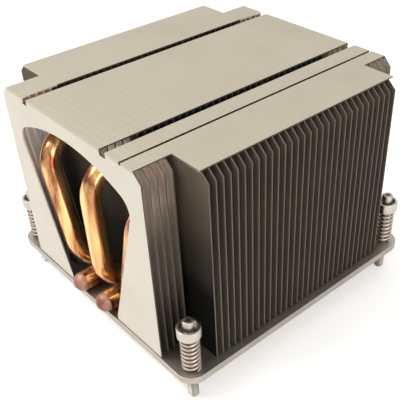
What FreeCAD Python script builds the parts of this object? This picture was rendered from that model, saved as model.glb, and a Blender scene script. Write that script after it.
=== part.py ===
import FreeCAD, Part
import math
import os
import Sketcher

# Passive server heatsink: +Z up, X across the fins, Y along the row of fins.
# z = 0 is the plane of the screw tips; all sizes in mm.
SIZES = {
    "screw_spacing": 80.0,
    "bracket_margin": 4.5,
    "bracket_thick": 2.2,
    "bracket_bottom": 9.0,
    "bracket_corner": 5.0,
    "base_bottom": 5.5,
    "base_width": 36.0,
    "base_length": 60.0,
    "base_bevel": 1.0,
    "seat_gap": 0.05,
    "pipe_radius": 3.0,
    "pipe_pitch": 6.1,
    "pipe_bend": 9.5,
    "riser_reach": 40.0,
    "upper_leg_height": 54.0,
    "fan_ratio": 1.9,
    "lower_leg_end": 42.0,
    "tip_reach": 44.0,
    "upper_leg_stop": 1.5,
    "fin_pitch": 2.2,
    "fin_thick": 0.4,
    "fin_bottom": 11.5,
    "fin_top": 69.5,
    "fin_bevel": 2.6,
    "wide_half": 42.4,
    "narrow_half": 32.3,
    "fold_gap": 0.05,
    "groove_left": 19.9,
    "groove_right": 17.4,
    "groove_width": 2.5,
    "groove_depth": 1.7,
    "plate_bar": 4.9,
    "inner_bar": 3.0,
    "window_arch": 58.0,
    "window_corner": 5.0,
    "plate_foot": 12.0,
    "plate_shoulder": 13.0,
    "plate_lean": 18.7,
    "inner_foot": 17.3,
    "inner_shoulder": 20.0,
    "inner_lean": 16.9,
    "neck_radius": 1.2,
    "thread_radius": 1.5,
    "tip_bevel": 0.6,
    "run_gap": 0.05,
    "hole_gap": 0.1,
    "cup_radius": 3.3,
    "cup_bottom": 23.0,
    "cup_height": 3.2,
    "head_radius": 1.6,
    "head_top": 28.4,
    "wire_half": 0.31,
    "coil_radius": 2.4,
}

# Sizes that follow from the ones above.
DERIVED = {
    "bracket_side": "screw_spacing + 2 * bracket_margin",
    "bracket_top": "bracket_bottom + bracket_thick",
    "screw_place": "screw_spacing / 2",
    "leg_height": "bracket_top + seat_gap + pipe_radius",
    "base_top": "leg_height + pipe_radius",
    "channel_floor": "leg_height - pipe_radius - seat_gap",
    "channel_width": "4 * pipe_pitch + 2 * pipe_radius + 2 * seat_gap",
    "notch_half": "base_width / 2 + seat_gap",
    "notch_top": "base_top + seat_gap",
    "hole_across": "(pipe_radius + seat_gap) / cos(22.5)",
    "rise": "upper_leg_height - leg_height",
    "fin_shoulder": "fin_top - fin_bevel",
    "wide_flat": "wide_half - fin_bevel",
    "narrow_flat": "narrow_half - fin_bevel",
    "fold_reach": "fin_pitch - fin_thick - fold_gap",
    "plate_centre": "fin_top - plate_bar - window_arch",
    "inner_centre": "fin_top - inner_bar - window_arch",
    "window_foot": "fin_bottom - 1",
    "shoulder_bottom": "bracket_bottom - seat_gap",
    "spring_foot": "bracket_top + wire_half + seat_gap",
    "spring_height": "cup_bottom - bracket_top - 2 * wire_half - 2 * seat_gap",
    "cup_top": "cup_bottom + cup_height",
}

# Fins on each side of the middle one.
WIDE_FIN_COUNT = 15
NARROW_FIN_COUNT = 5
PIPE_PLACES = {"left": -2, "centre": 0, "right": 2, "rear_left": -1, "rear_right": 1}
PIPE_SIDES = 10
# Sections of a pipe's end: width and distance past the leg, both in pipe radii.
ROUND_TIP = [(1.0, 0.0), (0.85, 0.55), (0.5, 0.87), (0.2, 1.0)]
SWAGED_TIP = [(1.0, 0.0), (0.5, 0.5)]
COIL_TURNS = 8
COIL_STEPS = 8
CORNERS = {"front_left": (-1, -1), "front_right": (1, -1), "rear_left": (-1, 1), "rear_right": (1, 1)}

doc = FreeCAD.newDocument("heatsink")
sheet = doc.addObject("Spreadsheet::Sheet", "sizes")
nodes = []

# Turns of sketches and tools that do not lie in the XY plane.
HOLE_TURN = FreeCAD.Rotation(FreeCAD.Vector(1, 0, 0), -90) * FreeCAD.Rotation(FreeCAD.Vector(0, 0, 1), 22.5)
RING_TURN = FreeCAD.Rotation(FreeCAD.Vector(1, 0, 0), 90)
WIRE_TURN = RING_TURN * FreeCAD.Rotation(FreeCAD.Vector(0, 0, 1), 45)
PATH_TURN = FreeCAD.Rotation(FreeCAD.Vector(0, -1, 0), FreeCAD.Vector(0, 0, 1), FreeCAD.Vector(-1, 0, 0), "XYZ")


def fillSheet():
    row = 1
    for alias, value in SIZES.items():
        sheet.set(f"A{row}", alias)
        sheet.set(f"B{row}", str(value))
        sheet.setAlias(f"B{row}", alias)
        row += 1
    for alias, formula in DERIVED.items():
        sheet.set(f"A{row}", alias)
        sheet.set(f"B{row}", "=" + formula)
        sheet.setAlias(f"B{row}", alias)
        row += 1
        doc.recompute()
    for name, place in PIPE_PLACES.items():
        sheet.set(f"A{row}", f"{name}_tilt")
        sheet.set(f"B{row}", f"=atan({place} * pipe_pitch * (fan_ratio - 1) / rise) / 1deg")
        sheet.setAlias(f"B{row}", f"{name}_tilt")
        sheet.set(f"A{row + 1}", f"{name}_rise")
        sheet.set(f"B{row + 1}", f"=rise / cos({name}_tilt)")
        sheet.setAlias(f"B{row + 1}", f"{name}_rise")
        row += 2
    doc.recompute()


def value(term):
    # A term is the alias of a cell, with a minus sign in front for its negative.
    if term.startswith("-"):
        return -value(term[1:])
    found = sheet.get(term)
    return float(getattr(found, "Value", found))


def linked(term):
    if term.startswith("-"):
        return "-sizes." + term[1:]
    return "sizes." + term


def bind(item, **places):
    for path, formula in places.items():
        item.setExpression(path.replace("__", "."), formula)


def add(kind, name, **places):
    item = doc.addObject(kind, name)
    bind(item, **places)
    return item


def joined(name, parts):
    item = doc.addObject("Part::MultiFuse", name)
    item.Shapes = parts
    return item


def cutFrom(name, base, tool):
    item = doc.addObject("Part::Cut", name)
    item.Base = base
    item.Tool = tool
    return item


def uprightSketch(name):
    # Sketch x is X and sketch y is Z.
    sketch = doc.addObject("Sketcher::SketchObject", name)
    sketch.Placement = FreeCAD.Placement(FreeCAD.Vector(), FreeCAD.Rotation(FreeCAD.Vector(1, 0, 0), 90))
    return sketch


def pinPoint(sketch, edge, end, across, up):
    # Ties one end of an edge to the cells of its two coordinates.
    for kind, axis, term in (("DistanceX", "x", across), ("DistanceY", "y", up)):
        label = f"{axis}{edge}_{end}"
        spot = sketch.addConstraint(Sketcher.Constraint(kind, -1, 1, edge, end, value(term)))
        sketch.renameConstraint(spot, label)
        sketch.setExpression(f"Constraints.{label}", linked(term))


def polygon(sketch, corners):
    points = [FreeCAD.Vector(value(across), value(up), 0) for across, up in corners]
    count = len(points)
    for index in range(count):
        sketch.addGeometry(Part.LineSegment(points[index], points[(index + 1) % count]), False)
    for index in range(count):
        sketch.addConstraint(Sketcher.Constraint("Coincident", index, 2, (index + 1) % count, 1))
    for index, (across, up) in enumerate(corners):
        pinPoint(sketch, index, 1, across, up)
    return sketch


def sheetOf(name, sketch, thickness):
    solid = doc.addObject("Part::Extrusion", name)
    solid.Base = sketch
    solid.DirMode = "Custom"
    solid.Dir = FreeCAD.Vector(0, 1, 0)
    solid.Solid = True
    solid.setExpression("LengthFwd", thickness)
    return solid


def box(name, size, place):
    item = doc.addObject("Part::Box", name)
    bind(item, Length=size[0], Width=size[1], Height=size[2])
    bind(item, Placement__Base__x=place[0], Placement__Base__y=place[1], Placement__Base__z=place[2])
    return item


def cylinder(name, radius, bottom, height):
    return add("Part::Cylinder", name, Radius=radius, Height=height, Placement__Base__z=bottom)


def publish(name, master, **places):
    # A node of its own: the master's shape, put at the node's own placement.
    node = doc.addObject("Part::Compound", name)
    node.Label = name
    node.Links = [master]
    bind(node, **places)
    nodes.append(node)
    return node


def finOutline(name, half, flat):
    corners = [("-" + half, "fin_bottom"), (half, "fin_bottom"), (half, "fin_shoulder")]
    corners += [(flat, "fin_top"), ("-" + flat, "fin_top"), ("-" + half, "fin_shoulder")]
    return sheetOf(name, polygon(uprightSketch(name + "_outline"), corners), "sizes.fin_thick")


def finFold(name, flat):
    size = (f"2 * sizes.{flat}", "sizes.fold_reach", "sizes.fin_thick")
    place = (f"-sizes.{flat}", "sizes.fin_thick", "sizes.fin_top - sizes.fin_thick")
    return box(name, size, place)


def topCuts():
    # Two open channels across the folds.
    cuts = []
    for name, middle in (("left", "-sizes.groove_left"), ("right", "sizes.groove_right")):
        size = ("sizes.groove_width", "sizes.fin_pitch + 1", "sizes.groove_depth + 1")
        place = (f"{middle} - sizes.groove_width / 2", "-0.5", "sizes.fin_top - sizes.groove_depth")
        cuts.append(box("groove_" + name, size, place))
    return cuts


def cornerCentre(foot, shoulder, lean, centre):
    # Centre of the round between a leaning side and the arch, for the sketch's first guess.
    radius = value("window_corner")
    along = FreeCAD.Vector(math.sin(lean), math.cos(lean), 0)
    inward = FreeCAD.Vector(-math.cos(lean), math.sin(lean), 0)
    start = FreeCAD.Vector(foot, shoulder, 0) + inward * radius
    arch = FreeCAD.Vector(0, centre, 0)
    gap = start - arch
    reach = value("window_arch") - radius
    half = gap.dot(along)
    travel = -half + math.sqrt(half * half - gap.dot(gap) + reach * reach)
    return start + along * travel


def windowTool(name, foot, shoulder, lean, middle):
    # A fan-shaped window: open foot, two leaning sides, two rounds and an arch.
    sketch = uprightSketch(name + "_outline")
    low = value("window_foot")
    side = math.radians(value(lean))
    centre = cornerCentre(value(foot), value(shoulder), side, value(middle))
    radius = value("window_corner")
    arch = FreeCAD.Vector(0, value(middle), 0)
    outward = FreeCAD.Vector(math.cos(side), -math.sin(side), 0)
    sideEnd = centre + outward * radius
    topStart = arch + (centre - arch).normalize() * value("window_arch")
    axis = FreeCAD.Vector(0, 0, 1)

    def mirrored(point):
        return FreeCAD.Vector(-point.x, point.y, 0)

    def roundBetween(hub, size, first, last):
        start = math.atan2(first.y - hub.y, first.x - hub.x)
        end = math.atan2(last.y - hub.y, last.x - hub.x)
        return Part.ArcOfCircle(Part.Circle(hub, axis, size), start, end)

    footPoint = FreeCAD.Vector(value(foot), low, 0)
    shoulderPoint = FreeCAD.Vector(value(foot), value(shoulder), 0)
    edges = [
        Part.LineSegment(mirrored(footPoint), footPoint),
        Part.LineSegment(footPoint, shoulderPoint),
        Part.LineSegment(shoulderPoint, sideEnd),
        roundBetween(centre, radius, sideEnd, topStart),
        roundBetween(arch, value("window_arch"), topStart, mirrored(topStart)),
        roundBetween(mirrored(centre), radius, mirrored(topStart), mirrored(sideEnd)),
        Part.LineSegment(mirrored(sideEnd), mirrored(shoulderPoint)),
        Part.LineSegment(mirrored(shoulderPoint), mirrored(footPoint)),
    ]
    for edge in edges:
        sketch.addGeometry(edge, False)
    for first, last in ((0, 1), (1, 2), (6, 7), (7, 0)):
        sketch.addConstraint(Sketcher.Constraint("Coincident", first, 2, last, 1))
    for first, last in ((2, 3), (3, 4), (4, 5), (5, 6)):
        sketch.addConstraint(Sketcher.Constraint("Tangent", first, 2, last, 1))
    pinPoint(sketch, 0, 1, "-" + foot, "window_foot")
    pinPoint(sketch, 0, 2, foot, "window_foot")
    pinPoint(sketch, 1, 2, foot, shoulder)
    pinPoint(sketch, 7, 1, "-" + foot, shoulder)
    sketch.addConstraint(Sketcher.Constraint("PointOnObject", 4, 3, -2))
    measures = [
        ("arch_centre", Sketcher.Constraint("DistanceY", -1, 1, 4, 3, arch.y), f"sizes.{middle}"),
        ("arch_radius", Sketcher.Constraint("Radius", 4, value("window_arch")), "sizes.window_arch"),
        ("right_round", Sketcher.Constraint("Radius", 3, radius), "sizes.window_corner"),
        ("left_round", Sketcher.Constraint("Radius", 5, radius), "sizes.window_corner"),
        ("right_lean", Sketcher.Constraint("Angle", 2, math.pi / 2 - side), f"90deg - sizes.{lean} * 1deg"),
        ("left_lean", Sketcher.Constraint("Angle", 6, side - math.pi / 2), f"sizes.{lean} * 1deg - 90deg"),
    ]
    for label, constraint, formula in measures:
        spot = sketch.addConstraint(constraint)
        sketch.renameConstraint(spot, label)
        sketch.setExpression(f"Constraints.{label}", formula)
    window = sheetOf(name, sketch, "sizes.fin_pitch + 1")
    window.setExpression("Placement.Base.y", "-0.5")
    return window


def pipeHoles(name, places):
    # Eight-sided holes whose flats hold the upper legs.
    holes = []
    for place in places:
        hole = add("Part::Prism", f"{name}_{PIPE_PLACES[place] + 2}", Circumradius="sizes.hole_across")
        hole.Polygon = 8
        hole.Placement = FreeCAD.Placement(FreeCAD.Vector(), HOLE_TURN)
        bind(hole, Height="sizes.fin_pitch + 1", Placement__Base__y="-0.5")
        bind(hole, Placement__Base__x=f"{PIPE_PLACES[place]} * sizes.pipe_pitch * sizes.fan_ratio")
        bind(hole, Placement__Base__z="sizes.upper_leg_height")
        holes.append(hole)
    return holes


def finMasters():
    cuts = topCuts()
    notch = box(
        "base_notch",
        ("2 * sizes.notch_half", "sizes.fin_pitch + 1", "sizes.notch_top - sizes.fin_bottom + 1"),
        ("-sizes.notch_half", "-0.5", "sizes.fin_bottom - 1"),
    )
    wide = joined("wide_blank", [finOutline("wide_web", "wide_half", "wide_flat"), finFold("wide_fold", "wide_flat")])
    frontLegs = pipeHoles("front_leg", ["left", "centre", "right"])
    rearLegs = pipeHoles("rear_leg", ["rear_left", "rear_right"])
    plateWindow = windowTool("plate_window", "plate_foot", "plate_shoulder", "plate_lean", "plate_centre")
    innerWindow = windowTool("inner_window", "inner_foot", "inner_shoulder", "inner_lean", "inner_centre")
    web = finOutline("narrow_web", "narrow_half", "narrow_flat")
    narrow = joined("narrow_blank", [web, finFold("narrow_fold", "narrow_flat")])
    return {
        "front": cutFrom("wide_front_fin", wide, joined("wide_front_cuts", cuts + [notch] + frontLegs)),
        "middle": cutFrom("wide_middle_fin", wide, joined("wide_middle_cuts", cuts + [notch])),
        "rear": cutFrom("wide_rear_fin", wide, joined("wide_rear_cuts", cuts + [notch] + rearLegs)),
        "inner": cutFrom("narrow_inner_fin", narrow, joined("narrow_cuts", cuts + [innerWindow])),
        "plate": cutFrom("window_plate", narrow, joined("plate_cuts", cuts + [plateWindow])),
        "last": cutFrom("last_plate", web, joined("last_cuts", cuts + [plateWindow])),
    }


def makeFins():
    masters = finMasters()
    reach = WIDE_FIN_COUNT + NARROW_FIN_COUNT
    for index in range(-reach, reach + 1):
        if abs(index) <= WIDE_FIN_COUNT:
            side = "front" if index < 0 else "rear" if index > 0 else "middle"
            name = f"wide_fin_{index + WIDE_FIN_COUNT + 1:02d}"
        elif abs(index) < reach:
            side = "inner"
            name = f"front_fin_{index + reach + 1}" if index < 0 else f"rear_fin_{index - WIDE_FIN_COUNT}"
        else:
            side = "plate" if index < 0 else "last"
            name = "front_plate" if index < 0 else "rear_plate"
        publish(name, masters[side], Placement__Base__y=f"{index} * sizes.fin_pitch - sizes.fin_thick / 2")


def pipeRing(name, tail, width, past):
    ring = add("Part::RegularPolygon", name, Circumradius=f"{width} * sizes.pipe_radius")
    ring.Polygon = PIPE_SIDES
    ring.Placement = FreeCAD.Placement(FreeCAD.Vector(), RING_TURN)
    ring.setExpression("Placement.Base.y", f"sizes.{tail} + {past} * sizes.pipe_radius")
    return ring


def pipeMaster(name, rise, tail, ending):
    # Drawn upright in its own plane: the lower leg lies on the local Y axis, the bend faces -Y.
    path = doc.addObject("Sketcher::SketchObject", name + "_path")
    path.Placement = FreeCAD.Placement(FreeCAD.Vector(), PATH_TURN)
    bend = value("pipe_bend")
    reach = value("riser_reach")
    top = value(rise)
    points = [
        FreeCAD.Vector(-value(tail), 0, 0),
        FreeCAD.Vector(reach - bend, 0, 0),
        FreeCAD.Vector(reach, bend, 0),
        FreeCAD.Vector(reach, top - bend, 0),
        FreeCAD.Vector(reach - bend, top, 0),
        FreeCAD.Vector(value("upper_leg_stop"), top, 0),
    ]
    middleLow = FreeCAD.Vector(reach - bend, bend, 0)
    middleHigh = FreeCAD.Vector(reach - bend, top - bend, 0)
    axis = FreeCAD.Vector(0, 0, 1)
    path.addGeometry(Part.LineSegment(points[0], points[1]), False)
    path.addGeometry(Part.ArcOfCircle(Part.Circle(middleLow, axis, bend), -math.pi / 2, 0), False)
    path.addGeometry(Part.LineSegment(points[2], points[3]), False)
    path.addGeometry(Part.ArcOfCircle(Part.Circle(middleHigh, axis, bend), 0, math.pi / 2), False)
    path.addGeometry(Part.LineSegment(points[4], points[5]), False)
    for edge in range(4):
        path.addConstraint(Sketcher.Constraint("Tangent", edge, 2, edge + 1, 1))
    path.addConstraint(Sketcher.Constraint("Horizontal", 0))
    path.addConstraint(Sketcher.Constraint("Vertical", 2))
    path.addConstraint(Sketcher.Constraint("Horizontal", 4))
    path.addConstraint(Sketcher.Constraint("PointOnObject", 0, 1, -1))
    measures = [
        ("tail", Sketcher.Constraint("DistanceX", 0, 1, -1, 1, value(tail)), f"sizes.{tail}"),
        ("reach", Sketcher.Constraint("DistanceX", -1, 1, 2, 1, reach), "sizes.riser_reach"),
        ("low_bend", Sketcher.Constraint("Radius", 1, bend), "sizes.pipe_bend"),
        ("high_bend", Sketcher.Constraint("Radius", 3, bend), "sizes.pipe_bend"),
        ("rise", Sketcher.Constraint("DistanceY", -1, 1, 4, 2, top), f"sizes.{rise}"),
        ("stop", Sketcher.Constraint("DistanceX", -1, 1, 4, 2, value("upper_leg_stop")), "sizes.upper_leg_stop"),
    ]
    for label, constraint, formula in measures:
        spot = path.addConstraint(constraint)
        path.renameConstraint(spot, label)
        path.setExpression(f"Constraints.{label}", formula)
    rings = []
    for index, (width, past) in enumerate(ending):
        rings.append(pipeRing(f"{name}_ring_{index}", tail, width, past))
    tip = doc.addObject("Part::Loft", name + "_tip")
    tip.Sections = rings
    tip.Solid = True
    tip.Ruled = True
    tube = doc.addObject("Part::Sweep", name + "_tube")
    tube.Sections = [rings[0]]
    tube.Spine = (path, [f"Edge{edge + 1}" for edge in range(5)])
    tube.Solid = True
    tube.Frenet = False
    return joined(name, [tube, tip])


def makePipes():
    for name, place in PIPE_PLACES.items():
        # Only the outer pair stops short, behind the rear plate.
        short = name in ("left", "right")
        tail = "lower_leg_end" if short else "tip_reach"
        ending = SWAGED_TIP if short else ROUND_TIP
        master = pipeMaster(f"{name}_pipe_form", f"{name}_rise", tail, ending)
        if name.startswith("rear"):
            turned = doc.addObject("Part::Mirroring", f"{name}_pipe_turned")
            turned.Source = master
            turned.Normal = FreeCAD.Vector(0, 1, 0)
            master = turned
        node = publish(f"heat_pipe_{name}", master)
        node.Placement = FreeCAD.Placement(FreeCAD.Vector(), FreeCAD.Rotation(FreeCAD.Vector(0, 1, 0), 1))
        bind(node, Placement__Base__x=f"{place} * sizes.pipe_pitch", Placement__Base__z="sizes.leg_height")
        bind(node, Placement__Rotation__Angle=f"sizes.{name}_tilt")


def makeBase():
    # A milled block whose open channel holds the five lower legs.
    form = box(
        "base_form",
        ("sizes.base_width", "sizes.base_length", "sizes.base_top - sizes.base_bottom"),
        ("-sizes.base_width / 2", "-sizes.base_length / 2", "sizes.base_bottom"),
    )
    channel = box(
        "base_channel",
        ("sizes.channel_width", "sizes.base_length + 2", "sizes.base_top - sizes.channel_floor + 1"),
        ("-sizes.channel_width / 2", "-sizes.base_length / 2 - 1", "sizes.channel_floor"),
    )
    publish("base_block", cutFrom("base_milled", form, channel))


def makeBracket():
    # A stamped square plate with round corners, a window for the base and four screw holes.
    side = "sizes.bracket_side"
    inner = "(sizes.bracket_side - 2 * sizes.bracket_corner)"
    low = "sizes.bracket_bottom"
    thick = "sizes.bracket_thick"
    plates = [
        box("bracket_long", (inner, side, thick), (f"-{inner} / 2", f"-{side} / 2", low)),
        box("bracket_wide", (side, inner, thick), (f"-{side} / 2", f"-{inner} / 2", low)),
    ]
    tools = [
        box(
            "bracket_window",
            ("sizes.base_width + 2 * sizes.seat_gap", "sizes.base_length + 2 * sizes.seat_gap", f"{thick} + 2"),
            ("-sizes.base_width / 2 - sizes.seat_gap", "-sizes.base_length / 2 - sizes.seat_gap", f"{low} - 1"),
        )
    ]
    for corner, (across, along) in CORNERS.items():
        round_ = cylinder("bracket_round_" + corner, "sizes.bracket_corner", low, thick)
        hole = cylinder("bracket_hole_" + corner, "sizes.neck_radius + sizes.hole_gap", f"{low} - 1", f"{thick} + 2")
        bind(round_, Placement__Base__x=f"{across} * {inner} / 2", Placement__Base__y=f"{along} * {inner} / 2")
        bind(hole, Placement__Base__x=f"{across} * sizes.screw_place")
        bind(hole, Placement__Base__y=f"{along} * sizes.screw_place")
        plates.append(round_)
        tools.append(hole)
    plate = joined("bracket_plate", plates)
    plate.Refine = True
    publish("mounting_bracket", cutFrom("bracket_cut", plate, joined("bracket_tools", tools)))


def screwMaster():
    neck = cylinder("screw_neck", "sizes.neck_radius", "sizes.tip_bevel", "sizes.cup_top - sizes.tip_bevel + 0.5")
    thread = cylinder("screw_thread", "sizes.thread_radius", "sizes.tip_bevel",
                      "sizes.shoulder_bottom - sizes.tip_bevel")
    point = add("Part::Cone", "screw_point", Radius1="sizes.thread_radius - sizes.tip_bevel",
                Radius2="sizes.thread_radius", Height="sizes.tip_bevel")
    head = cylinder("screw_head", "sizes.head_radius", "sizes.cup_top", "sizes.head_top - sizes.cup_top")
    return joined("screw_master", [neck, thread, point, head])


def cupMaster():
    outer = cylinder("cup_outer", "sizes.cup_radius", "sizes.cup_bottom", "sizes.cup_height")
    bore = cylinder("cup_bore", "sizes.neck_radius + sizes.run_gap", "sizes.cup_bottom - 1", "sizes.cup_height + 2")
    return cutFrom("cup_master", outer, bore)


def springMaster():
    # A square wire wound in short straight lengths, so the coil keeps few faces.
    sections = []
    lengths = COIL_TURNS * COIL_STEPS
    for step in range(lengths + 1):
        angle = 360 * step / COIL_STEPS
        wire = add("Part::RegularPolygon", f"spring_wire_{step}", Circumradius="sizes.wire_half * sqrt(2)")
        wire.Polygon = 4
        turn = FreeCAD.Rotation(FreeCAD.Vector(0, 0, 1), angle) * WIRE_TURN
        wire.Placement = FreeCAD.Placement(FreeCAD.Vector(), turn)
        bind(wire, Placement__Base__x=f"sizes.coil_radius * cos({angle})")
        bind(wire, Placement__Base__y=f"sizes.coil_radius * sin({angle})")
        bind(wire, Placement__Base__z=f"sizes.spring_foot + sizes.spring_height * {step} / {lengths}")
        sections.append(wire)
    spring = doc.addObject("Part::Loft", "spring_master")
    spring.Sections = sections
    spring.Solid = True
    spring.Ruled = True
    return spring


def makeFasteners():
    masters = {"screw": screwMaster(), "cup_washer": cupMaster(), "spring": springMaster()}
    for kind, master in masters.items():
        for corner, (across, along) in CORNERS.items():
            publish(
                f"{kind}_{corner}",
                master,
                Placement__Base__x=f"{across} * sizes.screw_place",
                Placement__Base__y=f"{along} * sizes.screw_place",
            )


def checkAndExport():
    doc.recompute()
    for item in doc.Objects:
        if "Invalid" in item.State or "Error" in item.State:
            raise RuntimeError(f"{item.Label} did not rebuild: {item.State}")
    os.makedirs("parts", exist_ok=True)
    for node in nodes:
        shape = node.Shape
        if shape.isNull() or not shape.isValid():
            raise RuntimeError(f"{node.Label} has no valid shape")
        solids = shape.Solids
        shape = solids[0] if len(solids) == 1 else shape
        shape.exportStep(f"parts/{node.Label}.step")
        print(node.Label, len(solids), round(shape.Volume, 2))


fillSheet()
makeBase()
makeBracket()
makePipes()
makeFins()
makeFasteners()
checkAndExport()
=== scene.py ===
import math

import bmesh
import bpy
from mathutils import Matrix, Vector


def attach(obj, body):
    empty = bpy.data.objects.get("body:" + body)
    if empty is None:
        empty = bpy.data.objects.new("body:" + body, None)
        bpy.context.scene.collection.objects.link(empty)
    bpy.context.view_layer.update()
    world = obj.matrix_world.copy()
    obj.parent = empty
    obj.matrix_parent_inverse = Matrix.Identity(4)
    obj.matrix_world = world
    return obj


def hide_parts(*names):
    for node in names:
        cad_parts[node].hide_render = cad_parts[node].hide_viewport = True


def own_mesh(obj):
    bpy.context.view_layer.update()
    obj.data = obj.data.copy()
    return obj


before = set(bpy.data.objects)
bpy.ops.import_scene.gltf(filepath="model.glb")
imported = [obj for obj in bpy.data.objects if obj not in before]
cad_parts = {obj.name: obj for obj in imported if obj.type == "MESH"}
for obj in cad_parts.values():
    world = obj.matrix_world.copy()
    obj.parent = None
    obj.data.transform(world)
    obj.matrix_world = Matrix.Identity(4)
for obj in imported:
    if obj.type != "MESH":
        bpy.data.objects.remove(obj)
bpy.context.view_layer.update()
mm = 0.001
weld = 0.002 * mm      # vertices closer than this become one
slack = 0.01           # mm allowed when something is found by its place
clear = 1.0            # mm that a cutter reaches past what it cuts
print("frame loaded:", len(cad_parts), "nodes")


def at(*values):
    return tuple(value * mm for value in values)


def camelCase(node):
    first, *others = node.split("_")
    return first + "".join(word.capitalize() for word in others)


def only(piece):
    if bpy.context.mode != "OBJECT":
        bpy.ops.object.mode_set(mode="OBJECT")
    bpy.ops.object.select_all(action="DESELECT")
    piece.select_set(True)
    bpy.context.view_layer.objects.active = piece


def addPrimitive(operator, name, **settings):
    if bpy.context.mode != "OBJECT":
        bpy.ops.object.mode_set(mode="OBJECT")
    bpy.ops.object.select_all(action="DESELECT")
    operator(**settings)
    piece = bpy.context.object
    piece.name = name
    piece.data.name = name
    bpy.ops.object.transform_apply(location=True, rotation=True, scale=True)
    bpy.ops.object.mode_set(mode="EDIT")
    bpy.ops.mesh.select_mode(type="VERT")
    bpy.ops.mesh.select_all(action="SELECT")
    return piece


def addBlock(name, low, high):
    # A cube pulled out to two opposite corners, left in edit mode.
    size = [b - a for a, b in zip(low, high)]
    middle = [(a + b) / 2 for a, b in zip(low, high)]
    piece = addPrimitive(bpy.ops.mesh.primitive_cube_add, name, size=mm, location=at(*middle))
    bpy.ops.transform.resize(value=size, center_override=at(*middle))
    return piece


def drawLine(name, points):
    # One vertex, extruded from point to point; the last one stays selected.
    line = addPrimitive(bpy.ops.mesh.primitive_plane_add, name, size=mm, location=at(*points[0]))
    bpy.ops.mesh.merge(type="CENTER")
    for before, after in zip(points, points[1:]):
        step = at(*(b - a for a, b in zip(before, after)))
        bpy.ops.mesh.extrude_vertices_move(TRANSFORM_OT_translate={"value": step})
    return line


def pick(kind, test):
    # Selects each item whose middle, in mm, passes the test.
    bpy.ops.mesh.select_mode(type=kind)
    bpy.ops.mesh.select_all(action="DESELECT")
    mesh = bpy.context.object.data
    shape = bmesh.from_edit_mesh(mesh)
    for item in {"VERT": shape.verts, "EDGE": shape.edges, "FACE": shape.faces}[kind]:
        corners = [item] if kind == "VERT" else item.verts
        middle = sum((corner.co for corner in corners), Vector()) / len(corners) / mm
        if test(middle):
            item.select_set(True)
    shape.select_flush_mode()
    bmesh.update_edit_mesh(mesh)


def tidyMesh():
    bpy.ops.mesh.select_all(action="SELECT")
    bpy.ops.mesh.remove_doubles(threshold=weld)
    bpy.ops.mesh.normals_make_consistent(inside=False)


def turned(name, profile, steps):
    # A profile of (radius, height) pairs, turned about the Z axis.
    piece = drawLine(name, [(radius, 0, height) for radius, height in profile])
    bpy.ops.mesh.select_all(action="SELECT")
    bpy.ops.mesh.spin(steps=steps, angle=2 * math.pi, center=(0, 0, 0), axis=(0, 0, 1))
    tidyMesh()
    bpy.ops.object.mode_set(mode="OBJECT")
    return piece


def useModifier(piece, kind, **settings):
    only(piece)
    bpy.ops.object.modifier_add(type=kind)
    modifier = piece.modifiers[-1]
    for name, setting in settings.items():
        setattr(modifier, name, setting)
    bpy.ops.object.modifier_apply(modifier=modifier.name)


def cutAway(piece, *cutters):
    for cutter in cutters:
        useModifier(piece, "BOOLEAN", operation="DIFFERENCE", solver="EXACT", object=cutter)


def discard(*pieces):
    for piece in pieces:
        bpy.data.objects.remove(piece, do_unlink=True)


def smooth(piece, degrees):
    only(piece)
    bpy.ops.object.shade_smooth_by_angle(angle=math.radians(degrees))


def roundEdges(piece, width):
    useModifier(piece, "BEVEL", width=width * mm, segments=2, limit_method="ANGLE",
                angle_limit=math.radians(40), harden_normals=False)


def copyTo(master, name, shift):
    only(master)
    bpy.ops.object.duplicate()
    piece = bpy.context.object
    piece.name = name
    piece.data.name = name
    piece.location = at(*shift)
    bpy.ops.object.transform_apply(location=True, rotation=False, scale=False)
    return piece


def fit(piece, body, node):
    # The piece stands for one CAD node and moves with its body.
    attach(piece, body)
    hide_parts(node)


# The camera looks down on the front right corner.
cameraView = {
    "azimuth": 49.78,      # degrees round from the front, towards +X
    "elevation": 37.38,    # degrees above the level
    "roll": -2.11,         # degrees
    "aim": (0, 0, 30),     # mm
    "back": 217.06,        # mm away from the aim
    "aside": 5.67,         # mm to the camera's right
    "up": -13.59,          # mm to the camera's top
    "lens": 62.2,          # mm
    "sensor": 36,          # mm across
    "shift": (-0.06, 0.08),
    "clip": (0.01, 10),    # metres
}


def placeCamera(view):
    azimuth, elevation, roll = (math.radians(view[key]) for key in ("azimuth", "elevation", "roll"))
    back = Vector((
        math.sin(azimuth) * math.cos(elevation),
        -math.cos(azimuth) * math.cos(elevation),
        math.sin(elevation),
    ))
    level = Vector((math.cos(azimuth), math.sin(azimuth), 0))
    rise = back.cross(level)
    right = math.cos(roll) * level + math.sin(roll) * rise
    up = -math.sin(roll) * level + math.cos(roll) * rise
    place = Vector(view["aim"]) + back * view["back"] + right * view["aside"] + up * view["up"]
    bpy.ops.object.camera_add(location=place * mm)
    camera = bpy.context.object
    camera.name = "mainCamera"
    camera.rotation_euler = Matrix((right, up, back)).transposed().to_euler()
    camera.data.sensor_width = view["sensor"]
    camera.data.lens = view["lens"]
    camera.data.shift_x, camera.data.shift_y = view["shift"]
    camera.data.clip_start, camera.data.clip_end = view["clip"]
    bpy.context.scene.camera = camera


placeCamera(cameraView)
print("camera placed")


def toLinear(hexColour):
    values = [int(hexColour[i:i + 2], 16) / 255 for i in (0, 2, 4)]
    return [v / 12.92 if v <= 0.04045 else ((v + 0.055) / 1.055) ** 2.4 for v in values] + [1]


def addNode(material, kind, settings=None, links=None):
    node = material.node_tree.nodes.new(kind)
    for name, setting in (settings or {}).items():
        if isinstance(name, int) or name in node.inputs:
            node.inputs[name].default_value = setting
        else:
            setattr(node, name, setting)
    for name, source in (links or {}).items():
        material.node_tree.links.new(source, node.inputs[name])
    return node


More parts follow.
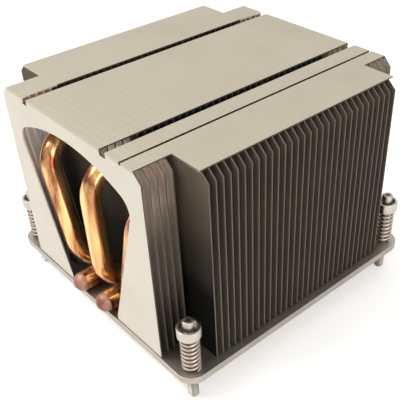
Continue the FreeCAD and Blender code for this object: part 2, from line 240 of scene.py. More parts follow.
def newMaterial(name):
    material = bpy.data.materials.new(name)
    material.use_nodes = True
    return material, material.node_tree.nodes["Principled BSDF"]


def finishMetal(material, shader, colour, rough, bump, metallic=1):
    shader.inputs["Metallic"].default_value = metallic
    material.node_tree.links.new(colour, shader.inputs["Base Color"])
    material.node_tree.links.new(rough, shader.inputs["Roughness"])
    material.node_tree.links.new(bump, shader.inputs["Normal"])
    return material


def twoColours(material, look, share):
    # The colour sockets of a Mix node share their names with its other kinds, so they go by number.
    colour = addNode(material, "ShaderNodeMix", {"data_type": "RGBA"}, {0: share})
    colour.inputs[6].default_value = toLinear(look["dull"])
    colour.inputs[7].default_value = toLinear(look["pale"])
    return colour.outputs[2]


# Rolled aluminium sheet: satin and slightly warm, with faint rolling lines along the fin and
# duller clouds. The folds and plates stay bright metal. The webs of the narrow fins are mostly
# matt and still pale, with painted shade towards the base. Those of the wide fins are darker as
# painted shade of the narrow gaps between them, and the two that face the windows are matt and
# nearly black as painted shade of the dark window, deepest towards the base. The sheared edges
# are rough, and their dark colour is painted shade.
# Lines and clouds are mm wide, and the lines are drawn coarser than real ones so that they show.
# "rise" gives the heights in mm between which dull turns pale, so that painted shade darkens the
# web towards the base. "shadeOutside" gives the distances from the middle between which the pale
# share fades, as painted shade on the outer sides, and the share of it that is left.
aluminium = {
    "fold": {"pale": "BAB2A0", "dull": "ACA492", "roughness": (0.44, 0.56), "metallic": 1, "line": 0.3,
             "cloud": 18, "depth": 0.003},
    "plate": {"pale": "C9C4B9", "dull": "BCB6AB", "roughness": (0.42, 0.58), "metallic": 1, "line": 0.3,
              "cloud": 20, "depth": 0.004},
    # The wide webs' dark colour is painted shade of the gaps between the fins.
    "web": {"pale": "6E6457", "dull": "4C443A", "roughness": (0.45, 0.62), "metallic": 0.2, "line": 0.3,
            "cloud": 14, "depth": 0.006},
    # Pale colour, with painted shade towards the base and the outer sides.
    "paleWeb": {"pale": "F2DECE", "dull": "40362E", "roughness": (0.4, 0.55), "metallic": 0.2,
                "line": 0.3, "cloud": 14, "depth": 0.006, "shine": 0.4, "rise": (12, 62),
                "shadeOutside": (28, 31, 0.4)},
    # Near black: painted shade of the window's inside, deepest towards the base.
    "shade": {"pale": "62584B", "dull": "090806", "roughness": (0.6, 0.75), "metallic": 0, "line": 0.3,
              "cloud": 12, "depth": 0.006, "shine": 0.1, "rise": (32, 72)},
    # The edges are rough and sheared, and their dark colour is painted shade.
    "edge": {"pale": "655F54", "dull": "46413A", "roughness": (0.45, 0.65), "metallic": 0.6, "line": 0.25,
             "cloud": 6, "depth": 0.01},
}


def cloudsAndPaintedShade(material, look, place, clouds):
    # The clouds alone, or weighted by height as painted shade towards the base, and where given also
    # as painted shade towards the outer sides. Noise is 0.5 on average, so with 0.45 more the
    # height decides and the clouds only vary it.
    if "rise" not in look:
        return clouds
    parts = addNode(material, "ShaderNodeSeparateXYZ", {}, {"Vector": place})
    height = addNode(material, "ShaderNodeMapRange",
                     {"From Min": look["rise"][0] * mm, "From Max": look["rise"][1] * mm},
                     {"Value": parts.outputs["Z"]})
    lift = addNode(material, "ShaderNodeMath", {"operation": "ADD", 1: 0.45}, {0: clouds})
    share = addNode(material, "ShaderNodeMath", {"operation": "MULTIPLY"},
                    {0: height.outputs["Result"], 1: lift.outputs[0]})
    if "shadeOutside" in look:
        start, end, left = look["shadeOutside"]
        sideways = addNode(material, "ShaderNodeMath", {"operation": "ABSOLUTE"}, {0: parts.outputs["X"]})
        sideShadeFade = addNode(material, "ShaderNodeMapRange",
                       {"From Min": start * mm, "From Max": end * mm, "To Min": 1, "To Max": left},
                       {"Value": sideways.outputs[0]})
        share = addNode(material, "ShaderNodeMath", {"operation": "MULTIPLY"},
                        {0: share.outputs[0], 1: sideShadeFade.outputs["Result"]})
    return share.outputs[0]


def makeRolledSheet(name, look):
    material, shader = newMaterial(name)
    place = addNode(material, "ShaderNodeTexCoord")
    across = 1 / (look["line"] * mm)
    along = across / 50    # a rolling line is about fifty times as long as wide
    stretch = addNode(material, "ShaderNodeMapping", {"Scale": (along, across, across)},
                      {"Vector": place.outputs["Object"]})
    lines = addNode(material, "ShaderNodeTexNoise", {"Scale": 1, "Detail": 3, "Roughness": 0.6},
                    {"Vector": stretch.outputs["Vector"]})
    clouds = addNode(material, "ShaderNodeTexNoise", {"Scale": 1 / (look["cloud"] * mm), "Detail": 4},
                     {"Vector": place.outputs["Object"]})
    rough = addNode(material, "ShaderNodeMapRange",
                    {"To Min": look["roughness"][0], "To Max": look["roughness"][1]},
                    {"Value": lines.outputs["Fac"]})
    bump = addNode(material, "ShaderNodeBump", {"Strength": 0.6, "Distance": look["depth"] * mm},
                   {"Height": lines.outputs["Fac"]})
    if "shine" in look:
        shader.inputs["Specular IOR Level"].default_value = look["shine"]
    share = cloudsAndPaintedShade(material, look, place.outputs["Object"], clouds.outputs["Fac"])
    colour = twoColours(material, look, share)
    return finishMetal(material, shader, colour, rough.outputs["Result"], bump.outputs["Normal"],
                       look["metallic"])


# Bare drawn copper tube: warm orange and bright, with brown heat tint in streaks up the
# upright lengths and fine drawing marks.
copperTube = {"pale": "FCC88A", "dull": "6E220A", "roughness": (0.15, 0.25), "metallic": 0.84, "cloud": 3.2,
              "streak": 8, "scratch": 0.3, "depth": 0.002}
# The closed ends are duller and pinker than the tube, and darker.
copperEnd = {"pale": "A47E6E", "dull": "80594A", "roughness": (0.5, 0.65), "metallic": 1, "cloud": 3,
             "streak": 1, "scratch": 0.3, "depth": 0.006}
# Milled copper block: the same metal, flatter and more even.
copperBlock = {"pale": "D8946A", "dull": "A8653F", "roughness": (0.3, 0.42), "metallic": 1, "cloud": 14,
               "streak": 1, "scratch": 0.35, "depth": 0.006}
# The noise levels at which the tint of all three starts and ends, and the share of pale there.
copperTint = {"From Min": 0.36, "From Max": 0.62, "To Min": 0.05, "To Max": 1}


def makeCopper(name, look):
    material, shader = newMaterial(name)
    place = addNode(material, "ShaderNodeTexCoord")
    stretch = addNode(material, "ShaderNodeMapping", {"Scale": (1, 1, 1 / look["streak"])},
                      {"Vector": place.outputs["Object"]})
    clouds = addNode(material, "ShaderNodeTexNoise", {"Scale": 1 / (look["cloud"] * mm), "Detail": 3},
                     {"Vector": stretch.outputs["Vector"]})
    scratches = addNode(material, "ShaderNodeTexNoise", {"Scale": 1 / (look["scratch"] * mm), "Detail": 2},
                        {"Vector": place.outputs["Object"]})
    share = addNode(material, "ShaderNodeMapRange", copperTint, {"Value": clouds.outputs["Fac"]})
    rough = addNode(material, "ShaderNodeMapRange",
                    {"To Min": look["roughness"][0], "To Max": look["roughness"][1]},
                    {"Value": scratches.outputs["Fac"]})
    bump = addNode(material, "ShaderNodeBump", {"Strength": 0.3, "Distance": look["depth"] * mm},
                   {"Height": scratches.outputs["Fac"]})
    colour = twoColours(material, look, share.outputs["Result"])
    return finishMetal(material, shader, colour, rough.outputs["Result"], bump.outputs["Normal"],
                       look["metallic"])


# Nickel-plated steel: an even, slightly warm grey with a fine grain from the plating. The collars
# are the brightest, and the drawn spring wire is the pinkest.
nickel = {
    "sheet": {"pale": "B4ADA3", "dull": "948D83", "roughness": (0.34, 0.5), "grain": 0.4, "cloud": 9},
    "screw": {"pale": "BDB6AC", "dull": "8F887F", "roughness": (0.3, 0.45), "grain": 0.3, "cloud": 4},
    "collar": {"pale": "CCC5BC", "dull": "A39C93", "roughness": (0.24, 0.38), "grain": 0.3, "cloud": 5},
    "wire": {"pale": "BFB0A4", "dull": "93857A", "roughness": (0.34, 0.5), "grain": 0.25, "cloud": 3},
}


def makeNickel(name, look):
    material, shader = newMaterial(name)
    place = addNode(material, "ShaderNodeTexCoord")
    grain = addNode(material, "ShaderNodeTexNoise", {"Scale": 1 / (look["grain"] * mm), "Detail": 4},
                    {"Vector": place.outputs["Object"]})
    clouds = addNode(material, "ShaderNodeTexNoise", {"Scale": 1 / (look["cloud"] * mm), "Detail": 3},
                     {"Vector": place.outputs["Object"]})
    rough = addNode(material, "ShaderNodeMapRange",
                    {"To Min": look["roughness"][0], "To Max": look["roughness"][1]},
                    {"Value": grain.outputs["Fac"]})
    bump = addNode(material, "ShaderNodeBump", {"Strength": 0.3, "Distance": 0.005 * mm},
                   {"Height": grain.outputs["Fac"]})
    colour = twoColours(material, look, clouds.outputs["Fac"])
    return finishMetal(material, shader, colour, rough.outputs["Result"], bump.outputs["Normal"])


metals = {
    "fold": makeRolledSheet("rolledAluminiumFold", aluminium["fold"]),
    "plate": makeRolledSheet("rolledAluminiumPlate", aluminium["plate"]),
    "web": makeRolledSheet("paintedShadeAluminiumWeb", aluminium["web"]),
    # Its darkening towards the base and the outer sides is painted shade.
    "paleWeb": makeRolledSheet("mattAluminiumWebPaintedShade", aluminium["paleWeb"]),
    # Its near black is painted shade of the window's inside.
    "shade": makeRolledSheet("paintedWindowShadeWeb", aluminium["shade"]),
    # The edges' dark colour is painted shade.
    "edge": makeRolledSheet("shearedEdgePaintedShade", aluminium["edge"]),
    "tube": makeCopper("drawnCopperTube", copperTube),
    # Duller, darker and pinker than the tube.
    "tubeEnd": makeCopper("dullPinkCopperEnd", copperEnd),
    "block": makeCopper("milledCopperBlock", copperBlock),
    "bracket": makeNickel("nickelPlatedSheet", nickel["sheet"]),
    "screw": makeNickel("nickelPlatedScrew", nickel["screw"]),
    "collar": makeNickel("nickelPlatedCollar", nickel["collar"]),
    "wire": makeNickel("drawnSpringWire", nickel["wire"]),
}
print("materials made:", len(metals))


def coat(piece, names, choose=None):
    # The first metal covers the piece, unless choose gives each face its place in names.
    piece.data.materials.clear()
    for name in names:
        piece.data.materials.append(metals[name])
    for face in piece.data.polygons:
        face.material_index = choose(face.center / mm, face.normal) if choose else 0


# A fin is one sheet with its top folded over towards the next. Lengths from here on are in mm.
fins = {
    "pitch": 2.2,
    "thick": 0.4,
    "bottom": 11.5,
    "top": 69.5,
    "bevel": 2.6,          # of the two top corners
    "foldEnd": 2.2,        # where a fold stops, against the next fin
    "crease": 0.04,        # rounding of the fold's outer edge
    "wideHalf": 42.4,
    "narrowHalf": 32.3,
    "grooves": {           # middle, width and depth
        "left": (-19.9, 2.5, 1.7),
        "right": (17.4, 2.5, 1.7),
        "lock": (24.6, 0.8, 0.7),
    },
    "notchHalf": 18.05,    # round the base block
    "notchTop": 17.3,
    "wideCount": 15,       # on each side of the middle fin
    "narrowCount": 5,      # at each end, with the plate
}
# Each side of a window stands upright at "foot" from the middle, up to the height "shoulder", and
# leans out from there by "lean" degrees. The centre of its arch is on the middle line.
windows = {
    "plate": {"foot": 12.0, "shoulder": 13.0, "lean": 18.7, "centre": 6.6},
    "inner": {"foot": 17.3, "shoulder": 20.0, "lean": 16.9, "centre": 8.5},
}
windowCut = {"arch": 58.0, "archSteps": 18, "corner": 5.0, "cornerSteps": 8, "length": 5.0}
# The pipes pass the fins in holes whose rims are drawn out round them.
pipeHoles = {"play": 0.05, "sides": 24, "length": 3.0, "rim": 1.2, "rimThick": 0.2}
pipes = {
    "radius": 3.0,
    "pitch": 6.1,
    "fan": 1.9,            # how many times wider apart the pipes stand at the top
    "bend": 9.5,
    "reach": 40.0,         # from the middle to the upright lengths
    "stop": 1.5,           # from the middle to the upper end
    "lowLeg": 14.25,
    "highLeg": 54.0,
    "shortTail": 42.0,     # from the middle to the lower end
    "longTail": 44.0,
    "sides": 28,
    "bendSteps": 10,
    "places": {"left": -2, "centre": 0, "right": 2, "rear_left": -1, "rear_right": 1},
}


def sheetOutline(name, half, folded):
    # The sheet's middle surface: web, bevelled corners and the fold's flat.
    middle = fins["thick"] / 2
    flat = half - fins["bevel"]
    shoulder = fins["top"] - fins["bevel"]
    rim = fins["top"] - middle if folded else fins["top"]
    piece = drawLine(name, [(-half, middle, fins["bottom"]), (half, middle, fins["bottom"])])
    pick("EDGE", lambda place: True)
    for lift in (shoulder - fins["bottom"], rim - shoulder):
        bpy.ops.mesh.extrude_edges_move(TRANSFORM_OT_translate={"value": at(0, 0, lift)})
    bpy.ops.transform.resize(value=(flat / half, 1, 1), center_override=at(0, middle, rim))
    if folded:
        bpy.ops.mesh.extrude_edges_move(TRANSFORM_OT_translate={"value": at(0, fins["foldEnd"] - middle, 0)})
    return piece


def sliceAt(across, up):
    # Cuts at two places across, one on each side, and at one height.
    bpy.ops.mesh.select_mode(type="VERT")
    for place, normal in [((x, 0, 0), (1, 0, 0)) for x in across] + [((0, 0, up), (0, 0, 1))]:
        bpy.ops.mesh.select_all(action="SELECT")
        bpy.ops.mesh.bisect(plane_co=at(*place), plane_no=normal)


def clearFaces(test):
    pick("FACE", test)
    bpy.ops.mesh.delete(type="FACE")


def makeSheet(name, half, folded=True, notched=False):
    piece = sheetOutline(name, half, folded)
    for middle, width, depth in fins["grooves"].values():
        side, floor = width / 2, fins["top"] - depth
        sliceAt((middle - side, middle + side), floor)
        clearFaces(lambda p: p.z > floor and abs(p.x - middle) < side)
    if notched:
        sliceAt((-fins["notchHalf"], fins["notchHalf"]), fins["notchTop"])
        clearFaces(lambda p: abs(p.x) < fins["notchHalf"] and p.z < fins["notchTop"])
    tidyMesh()
    useModifier(piece, "SOLIDIFY", thickness=fins["thick"] * mm, offset=0, use_even_offset=True)
    if folded:
        bpy.ops.object.mode_set(mode="EDIT")
        near = 0.05    # at the bevelled corners the crease runs a little lower
        pick("EDGE", lambda p: p.z > fins["top"] - near and p.y < near)
        bpy.ops.mesh.bevel(offset=fins["crease"] * mm, segments=2, affect="EDGES")
        bpy.ops.object.mode_set(mode="OBJECT")
    return piece


def arcPoints(hub, size, start, end, steps):
    turns = [start + (end - start) * step / steps for step in range(steps + 1)]
    return [(hub[0] + size * math.cos(turn), hub[1] + size * math.sin(turn)) for turn in turns]


def windowCutter(name, look):
    # Open foot, leaning sides, round corners and an arched top.
    lean, corner, centre = math.radians(look["lean"]), windowCut["corner"], look["centre"]
    # A corner's hub stands off the leaning side by the corner's radius. It slides up along the
    # side until it is the same radius inside the arch, so that the corner touches both.
    start = Vector((look["foot"] - corner * math.cos(lean), look["shoulder"] + corner * math.sin(lean)))
    along = Vector((math.sin(lean), math.cos(lean)))
    gap = start - Vector((0, centre))
    reach = windowCut["arch"] - corner
    back = gap.dot(along)
    hub = start + along * (-back + math.sqrt(back * back - gap.dot(gap) + reach * reach))
    turn = math.atan2(hub.y - centre, hub.x)
    right = [(look["foot"], fins["bottom"] - clear), (look["foot"], look["shoulder"])]
    right += arcPoints(hub, corner, -lean, turn, windowCut["cornerSteps"])
    top = arcPoints((0, centre), windowCut["arch"], turn, math.pi - turn, windowCut["archSteps"])
    left = [(-x, z) for x, z in reversed(right)]
    cutter = drawLine(name, [(x, -clear, z) for x, z in right + top[1:-1] + left])
    bpy.ops.mesh.select_all(action="SELECT")
    bpy.ops.mesh.edge_face_add()
    bpy.ops.mesh.extrude_region_move(TRANSFORM_OT_translate={"value": at(0, windowCut["length"], 0)})
    tidyMesh()
    bpy.ops.object.mode_set(mode="OBJECT")
    return cutter


def cutPipeHole(piece, across):
    hole = pipes["radius"] + pipeHoles["play"]
    cutter = addPrimitive(bpy.ops.mesh.primitive_circle_add, "holeCutter", vertices=pipeHoles["sides"],
                          radius=hole * mm, fill_type="NGON", rotation=(math.pi / 2, 0, 0),
                          location=at(across, -clear, pipes["highLeg"]))
    bpy.ops.mesh.extrude_region_move(TRANSFORM_OT_translate={"value": at(0, pipeHoles["length"], 0)})
    tidyMesh()
    cutAway(piece, cutter)
    discard(cutter)


def addHoleRim(piece, across):
    middle = pipes["radius"] + pipeHoles["play"] + pipeHoles["rimThick"] / 2
    rim = addPrimitive(bpy.ops.mesh.primitive_circle_add, "holeRim", vertices=pipeHoles["sides"],
                       radius=middle * mm, rotation=(math.pi / 2, 0, 0),
                       location=at(across, fins["thick"], pipes["highLeg"]))
    bpy.ops.mesh.extrude_edges_move(TRANSFORM_OT_translate={"value": at(0, pipeHoles["rim"], 0)})
    bpy.ops.mesh.select_all(action="SELECT")
    bpy.ops.mesh.normals_make_consistent(inside=False)
    useModifier(rim, "SOLIDIFY", thickness=pipeHoles["rimThick"] * mm, offset=0)
    only(piece)
    rim.select_set(True)
    bpy.ops.object.join()


def chooseFin(outward, windowed):
    # For a list of web, fold, edge and outer face. Outward is -1 or 1 where the web's face on that
    # side of Y is an outer one, and otherwise 0.
    web, fold, edge, outer = range(4)
    low = fins["top"] - fins["thick"] - slack
    foldStop = fins["foldEnd"] - slack
    windowReach = fins["narrowHalf"] - 2

    def choose(place, normal):
        onTop = place.z >= low
        if not onTop and abs(normal.y) > 0.9:
            return outer if normal.y * outward > 0 else web
        # The fold's upper side and its crease, without the cut ends and sides.
        if onTop and abs(normal.x) < 0.3 and normal.z > -0.2 and place.y < foldStop:
            return fold
        if onTop and normal.z < -0.5:
            return web
        # A window's punched rim faces the middle, and is as clean as the web.
        if windowed and normal.x * place.x < 0 and abs(place.x) < windowReach:
            return web
        return edge
    return choose


def makeFinMasters():
    plateCutter = windowCutter("plateWindowCutter", windows["plate"])
    innerCutter = windowCutter("innerWindowCutter", windows["inner"])
    masters = {
        "middle": makeSheet("middleMaster", fins["wideHalf"], notched=True),
        "front": makeSheet("frontMaster", fins["wideHalf"], notched=True),
        "rear": makeSheet("rearMaster", fins["wideHalf"], notched=True),
        "inner": makeSheet("innerMaster", fins["narrowHalf"]),
        "plate": makeSheet("plateMaster", fins["narrowHalf"]),
        "last": makeSheet("lastMaster", fins["narrowHalf"], folded=False),
    }
    spread = pipes["pitch"] * pipes["fan"]
    holes = [(masters["rear" if name.startswith("rear") else "front"], place * spread)
             for name, place in pipes["places"].items()]
    for fin, across in holes:
        cutPipeHole(fin, across)
    # All rims follow the last cut, because a cut can lose a loose shell.
    for fin, across in holes:
        addHoleRim(fin, across)
    cutAway(masters["inner"], innerCutter)
    cutAway(masters["plate"], plateCutter)
    cutAway(masters["last"], plateCutter)
    discard(plateCutter, innerCutter)
    # Copies of the outermost wide fins, whose faces towards the windows get the painted window shade.
    masters["frontShaded"] = copyTo(masters["front"], "frontShadedMaster", (0, 0, 0))
    masters["rearShaded"] = copyTo(masters["rear"], "rearShadedMaster", (0, 0, 0))
    for kind, master in masters.items():
        outward = {"plate": -1, "last": 1, "frontShaded": -1, "rearShaded": 1}.get(kind, 0)
        narrow = kind in ("inner", "plate", "last")
        names = ["paleWeb", "fold", "edge", "plate"] if narrow else ["web", "fold", "edge", "shade"]
        coat(master, names, chooseFin(outward, narrow))
        smooth(master, 20)
    return masters


def makeFins():
    masters = makeFinMasters()
    wide, reach = fins["wideCount"], fins["wideCount"] + fins["narrowCount"]
    for index in range(-reach, reach + 1):
        if abs(index) <= wide:
            kind = "front" if index < 0 else "rear" if index > 0 else "middle"
            kind += "Shaded" if abs(index) == wide else ""
            node = f"wide_fin_{index + wide + 1:02d}"
        elif abs(index) < reach:
            kind = "inner"
            node = f"front_fin_{index + reach + 1}" if index < 0 else f"rear_fin_{index - wide}"
        else:
            kind, node = ("plate", "front_plate") if index < 0 else ("last", "rear_plate")
        shift = (0, index * fins["pitch"] - fins["thick"] / 2, 0)
        piece = copyTo(masters[kind], camelCase(node), shift)
        fit(piece, "heatsink", node)
    discard(*masters.values())


makeFins()
print("fins folded")

# Sections of a pipe's closed end: width and distance past the tail, both in pipe radii.
roundEnd = [(0.985, 0.15), (0.92, 0.4), (0.78, 0.64), (0.55, 0.82), (0.34, 0.88), (0.28, 0.97), (0.12, 1.0)]
swagedEnd = [(0.97, 0.06), (0.75, 0.22), (0.56, 0.38), (0.5, 0.5)]


def makePipe(name, place):
    # Drawn about the origin with the upright length at -Y, then leant, turned and set in place.
    rear = name.startswith("rear")
    short = name in ("left", "right")
    radius, bend, steps = pipes["radius"], pipes["bend"], pipes["bendSteps"]
    height = pipes["highLeg"] - pipes["lowLeg"]
    lean = math.atan(place * pipes["pitch"] * (pipes["fan"] - 1) / height)
    rise = height / math.cos(lean)
    tail = pipes["shortTail"] if short else pipes["longTail"]
    piece = addPrimitive(bpy.ops.mesh.primitive_circle_add, "pipe", vertices=pipes["sides"],
                         radius=radius * mm, rotation=(math.pi / 2, 0, 0), location=at(0, tail, 0))
    lowStart = pipes["reach"] - bend
    bpy.ops.mesh.extrude_edges_move(TRANSFORM_OT_translate={"value": at(0, -lowStart - tail, 0)})
    bpy.ops.mesh.spin(steps=steps, angle=math.pi / 2, axis=(1, 0, 0), center=at(0, -lowStart, bend))
    bpy.ops.mesh.extrude_edges_move(TRANSFORM_OT_translate={"value": at(0, 0, rise - 2 * bend)})
    bpy.ops.mesh.spin(steps=steps, angle=math.pi / 2, axis=(1, 0, 0), center=at(0, -lowStart, rise - bend))
    bpy.ops.mesh.extrude_edges_move(TRANSFORM_OT_translate={"value": at(0, lowStart - pipes["stop"], 0)})
    bpy.ops.mesh.edge_face_add()
    pick("VERT", lambda p: p.y > tail - slack)
    width, past = 1, 0
    for nextWidth, nextPast in swagedEnd if short else roundEnd:
        step = (nextPast - past) * radius
        bpy.ops.mesh.extrude_edges_move(TRANSFORM_OT_translate={"value": at(0, step, 0)})
        share = nextWidth / width
        bpy.ops.transform.resize(value=(share, 1, share), center_override=(0, 0, 0))
        width, past = nextWidth, nextPast
    bpy.ops.mesh.edge_face_add()
    bpy.ops.mesh.select_all(action="SELECT")
    bpy.ops.transform.rotate(value=-lean, orient_axis="Y", center_override=(0, 0, 0))
    if rear:
        bpy.ops.transform.resize(value=(1, -1, 1), center_override=(0, 0, 0))
    bpy.ops.transform.translate(value=at(place * pipes["pitch"], 0, pipes["lowLeg"]))
    tidyMesh()
    bpy.ops.object.mode_set(mode="OBJECT")
    endSide = -1 if rear else 1
    coat(piece, ["tube", "tubeEnd"], lambda p, normal: 1 if p.y * endSide > tail else 0)
    smooth(piece, 50)
    node = "heat_pipe_" + name
    piece.name = camelCase(node)
    piece.data.name = piece.name
    fit(piece, "heatsink", node)


for pipeName, pipePlace in pipes["places"].items():
    makePipe(pipeName, pipePlace)
print("heat pipes bent")

# The pipes lie in a channel along the block, and the bracket is a frame round it.
block = {
    "half": (18, 30),      # across and along
    "low": 5.5,
    "high": 17.25,
    "channelHalf": 15.25,
    "channelFloor": 11.2,
    "edge": 0.3,
}
bracket = {
    "half": 44.5,
    "low": 9.0,
    "high": 11.2,
    "corner": 5.0,
    "cornerSteps": 8,
    "gap": 0.05,           # round the block
    "holes": 40.0,         # from the middle, both ways
    "holeRadius": 1.3,
    "holeSides": 24,
    "edge": 0.25,
}
corners = {"front_left": (-1, -1), "front_right": (1, -1), "rear_left": (-1, 1), "rear_right": (1, 1)}


def makeBlock():
    wide, deep = block["half"]
    piece = addBlock("baseBlock", (-wide, -deep, block["low"]), (wide, deep, block["high"]))
    bpy.ops.object.mode_set(mode="OBJECT")
    side, floor, top = block["channelHalf"], block["channelFloor"], block["high"] + clear
    cutter = addBlock("channelCutter", (-side, -deep - clear, floor), (side, deep + clear, top))
    bpy.ops.object.mode_set(mode="OBJECT")
    cutAway(piece, cutter)
    discard(cutter)
    roundEdges(piece, block["edge"])
    coat(piece, ["block"])
    smooth(piece, 20)
    fit(piece, "heatsink", "base_block")


def makeBracket():
    half = bracket["half"]
    piece = addBlock("mountingBracket", (-half, -half, bracket["low"]), (half, half, bracket["high"]))
    pick("EDGE", lambda p: abs(p.x) > half - slack and abs(p.y) > half - slack)
    bpy.ops.mesh.bevel(offset=bracket["corner"] * mm, segments=bracket["cornerSteps"], affect="EDGES")
    bpy.ops.object.mode_set(mode="OBJECT")
    wide, deep = (side + bracket["gap"] for side in block["half"])
    low, high = bracket["low"] - clear, bracket["high"] + clear
    cutters = [addBlock("bracketWindow", (-wide, -deep, low), (wide, deep, high))]
    for across, along in corners.values():
        place = at(across * bracket["holes"], along * bracket["holes"], low)
        hole = addPrimitive(bpy.ops.mesh.primitive_circle_add, "bracketHole", vertices=bracket["holeSides"],
                            fill_type="NGON", radius=bracket["holeRadius"] * mm, location=place)
        bpy.ops.mesh.extrude_region_move(TRANSFORM_OT_translate={"value": at(0, 0, high - low)})
        tidyMesh()
        cutters.append(hole)
    cutAway(piece, *cutters)
    discard(*cutters)
    roundEdges(piece, bracket["edge"])
    coat(piece, ["bracket"])
    smooth(piece, 20)
    fit(piece, "heatsink", "mounting_bracket")


makeBlock()
makeBracket()
print("base block and bracket milled")

# A screw stands in its collar, which the spring holds up above the bracket.
screw = {
    "neck": 1.18,          # radius
    "thread": 1.49,        # radius over the crests
    "pitch": 0.5,
    "crest": (0.4, 0.55),  # where a crest starts and ends, in pitches
    "threadLow": 0.2,
    "threadTop": 8.9,
    "foot": 0.02,          # height of the flat end, and of the step behind the point
    "tip": 0.6,            # height of the bevelled point
    "tipStep": 0.1,        # how far the point stays inside the thread
    "head": 1.6,           # radius
    "headLow": 24.92,      # the head stands on the collar's recess
    "headTop": 28.4,
    "headEdge": 0.15,
    "headRim": ((0, 0.3), (0.1, 0.12), (0.35, 0)),    # inset and drop of the rounded rim
    "crossLength": 2.1,
    "crossWidth": 0.55,
    "crossDepth": 1.3,
    "crossTaper": 0.6,     # width at the floor of the cross
    "steps": 24,
}
collar = {
    "outer": 3.3,
    "bore": 1.25,
    "low": 23.02,
    "high": 26.2,
    "recess": 2.45,
    "recessFloor": 24.9,
    "edge": 0.25,
    "edgeMiddle": 0.07,    # how far the middle of the rounded outer edge lies in
    "lip": 0.12,
    "steps": 32,
}
spring = {
    "wireRadius": 0.4,
    "radius": 2.34,
    "low": 11.22,
    "high": 23.0,
    "turns": 8,
    "stepsPerTurn": 20,
    "wireSides": 8,
    "travel": 3.5,
}


def makeThread():
    # One pitch of the thread's profile, wound up the shank.
    low, lift, neck, thread = screw["threadLow"], screw["pitch"], screw["neck"], screw["thread"]
    start, end = screw["crest"]
    profile = [(neck, low), (thread, low + start * lift), (thread, low + end * lift), (neck, low + lift)]
    piece = drawLine("thread", [(radius, 0, height) for radius, height in profile])
    bpy.ops.object.mode_set(mode="OBJECT")
    rounds = int((screw["threadTop"] - low) / lift)
    steps = screw["steps"] // 2
    useModifier(piece, "SCREW", angle=2 * math.pi, screw_offset=lift * mm, iterations=rounds, steps=steps,
                render_steps=steps, use_merge_vertices=True, merge_threshold=weld)
    only(piece)
    bpy.ops.object.mode_set(mode="EDIT")
    tidyMesh()
    bpy.ops.mesh.bisect(plane_co=at(0, 0, screw["tip"]), plane_no=(0, 0, 1), clear_inner=True)
    bpy.ops.object.mode_set(mode="OBJECT")
    return piece


def makeScrewMaster():
    top, head, neck, tip = screw["headTop"], screw["head"], screw["neck"], screw["tip"]
    foot, edge, headLow = screw["foot"], screw["headEdge"], screw["headLow"]
    profile = [(0, foot), (screw["thread"] - tip, foot), (screw["thread"] - screw["tipStep"], tip),
               (neck, tip + foot), (neck, headLow), (head - edge, headLow), (head, headLow + edge)]
    profile += [(head - inset, top - drop) for inset, drop in screw["headRim"]]
    piece = turned("screwMaster", profile + [(0, top)], screw["steps"])
    long, wide, taper = screw["crossLength"] / 2, screw["crossWidth"] / 2, screw["crossTaper"]
    floor = top - screw["crossDepth"]
    for x, y in ((long, wide), (wide, long)):
        cutter = addBlock("crossCutter", (-x, -y, floor), (x, y, top + clear / 2))
        pick("FACE", lambda p: p.z < floor + slack)
        bpy.ops.transform.resize(value=(taper, taper, 1), center_override=at(0, 0, top))
        bpy.ops.object.mode_set(mode="OBJECT")
        cutAway(piece, cutter)
        discard(cutter)
    thread = makeThread()
    only(piece)
    thread.select_set(True)
    bpy.ops.object.join()
    coat(piece, ["screw"])
    smooth(piece, 30)
    return piece


def makeCollarMaster():
    outer, low, high, bore = collar["outer"], collar["low"], collar["high"], collar["bore"]
    recess, floor, lip = collar["recess"], collar["recessFloor"], collar["lip"]
    edge, middle = collar["edge"], collar["edgeMiddle"]
    profile = [(bore, low), (outer - edge, low), (outer, low + edge), (outer, high - edge),
               (outer - middle, high - middle), (outer - edge, high), (recess + lip, high),
               (recess, high - lip), (recess, floor), (bore, floor), (bore, low)]
    piece = turned("collarMaster", profile, collar["steps"])
    coat(piece, ["collar"])
    smooth(piece, 30)
    return piece


def makeSpringMaster():
    # Round wire wound in a helix, with both ends ground flat.
    low, high, wire = spring["low"], spring["high"], spring["wireRadius"]
    piece = addPrimitive(bpy.ops.mesh.primitive_circle_add, "springMaster", vertices=spring["wireSides"],
                         radius=wire * mm, rotation=(math.pi / 2, 0, 0),
                         location=at(spring["radius"], 0, low))
    bpy.ops.object.mode_set(mode="OBJECT")
    steps = spring["turns"] * spring["stepsPerTurn"]
    useModifier(piece, "SCREW", angle=2 * math.pi * spring["turns"], screw_offset=(high - low) * mm,
                steps=steps, render_steps=steps, iterations=1)
    only(piece)
    bpy.ops.object.mode_set(mode="EDIT")
    tidyMesh()
    for level in (low, high):
        pick("EDGE", lambda p: abs(p.y) < slack and abs(p.z - level) < wire + slack)
        bpy.ops.mesh.edge_face_add()
    for level, side in ((low, 1), (high, -1)):
        bpy.ops.mesh.select_all(action="SELECT")
        bpy.ops.mesh.bisect(plane_co=at(0, 0, level), plane_no=(0, 0, side), clear_inner=True, use_fill=True)
    tidyMesh()
    bpy.ops.object.mode_set(mode="OBJECT")
    coat(piece, ["wire"])
    smooth(piece, 50)
    return piece


def makeFasteners():
    masters = {"screw": makeScrewMaster(), "collar": makeCollarMaster(), "spring": makeSpringMaster()}
    for corner, (across, along) in corners.items():
        shift = (across * bracket["holes"], along * bracket["holes"], 0)
        pin = copyTo(masters["screw"], camelCase("screw_" + corner), shift)
        fit(pin, "screw_" + corner, "screw_" + corner)
        cup = copyTo(masters["collar"], camelCase("collar_" + corner), shift)
        fit(cup, "cup_" + corner, "cup_washer_" + corner)
        coil = copyTo(masters["spring"], camelCase("spring_" + corner), shift)
        fit(coil, "heatsink", "spring_" + corner)
        at(shift[0], shift[1], spring["low"])
        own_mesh(coil)
    discard(*masters.values())


makeFasteners()
print("spring screws fitted")

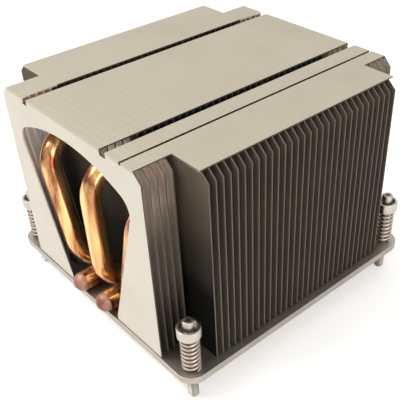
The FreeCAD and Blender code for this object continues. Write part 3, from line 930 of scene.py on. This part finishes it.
# Pale painted board under the object, and soft lamps: sizes and places in mm, power in watts.
studio = {
    "floor": 1400,         # across
    "floorDrop": 0.2,      # below the object
    "floorColour": "F4F2EE",
    "floorRoughness": 0.7,
    "floorGlow": 0.36,     # what the camera and reflections see of the floor besides its shade
    "background": "FFFFFF",
    "fill": 0.34,          # light from the background on the object
    "aim": (0, 0, 30),
    "lamps": {
        "key": {"place": (-230, -300, 560), "power": 3.1, "size": 420},
        "over": {"place": (60, 40, 620), "power": 2.1, "size": 1100},
        "side": {"place": (620, -120, 230), "power": 2.2, "size": 360},
    },
}


def backdropRays(owner):
    # 1 for what the camera, a reflection or glass sees, 0 for light that falls on the object.
    paths = addNode(owner, "ShaderNodeLightPath")
    seen = addNode(owner, "ShaderNodeMath", {"operation": "MAXIMUM"},
                   {0: paths.outputs["Is Camera Ray"], 1: paths.outputs["Is Glossy Ray"]})
    shown = addNode(owner, "ShaderNodeMath", {"operation": "MAXIMUM"},
                    {0: seen.outputs[0], 1: paths.outputs["Is Transmission Ray"]})
    return shown.outputs[0]


def makeStudio(look):
    world = bpy.data.worlds.new("studioWorld")
    world.use_nodes = True
    bpy.context.scene.world = world
    background = world.node_tree.nodes["Background"]
    amount = addNode(world, "ShaderNodeMapRange", {"To Min": look["fill"], "To Max": 1},
                     {"Value": backdropRays(world)})
    world.node_tree.links.new(amount.outputs["Result"], background.inputs["Strength"])
    background.inputs["Color"].default_value = toLinear(look["background"])
    floor = addPrimitive(bpy.ops.mesh.primitive_plane_add, "studioFloor", size=look["floor"] * mm,
                         location=at(0, 0, -look["floorDrop"]))
    bpy.ops.object.mode_set(mode="OBJECT")
    material, shader = newMaterial("paleFloor")
    shader.inputs["Base Color"].default_value = toLinear(look["floorColour"])
    shader.inputs["Roughness"].default_value = look["floorRoughness"]
    shader.inputs["Emission Color"].default_value = toLinear(look["background"])
    glow = addNode(material, "ShaderNodeMapRange", {"To Max": look["floorGlow"]},
                   {"Value": backdropRays(material)})
    material.node_tree.links.new(glow.outputs["Result"], shader.inputs["Emission Strength"])
    floor.data.materials.append(material)
    for name, lamp in look["lamps"].items():
        bpy.ops.object.light_add(type="AREA", location=Vector(lamp["place"]) * mm)
        light = bpy.context.object
        light.name = name + "Lamp"
        light.data.energy = lamp["power"]
        light.data.size = lamp["size"] * mm
        aim = Vector(lamp["place"]) - Vector(look["aim"])
        light.rotation_euler = aim.to_track_quat("Z", "Y").to_euler()


makeStudio(studio)
bpy.context.scene.view_settings.view_transform = "Standard"
print("studio lit")
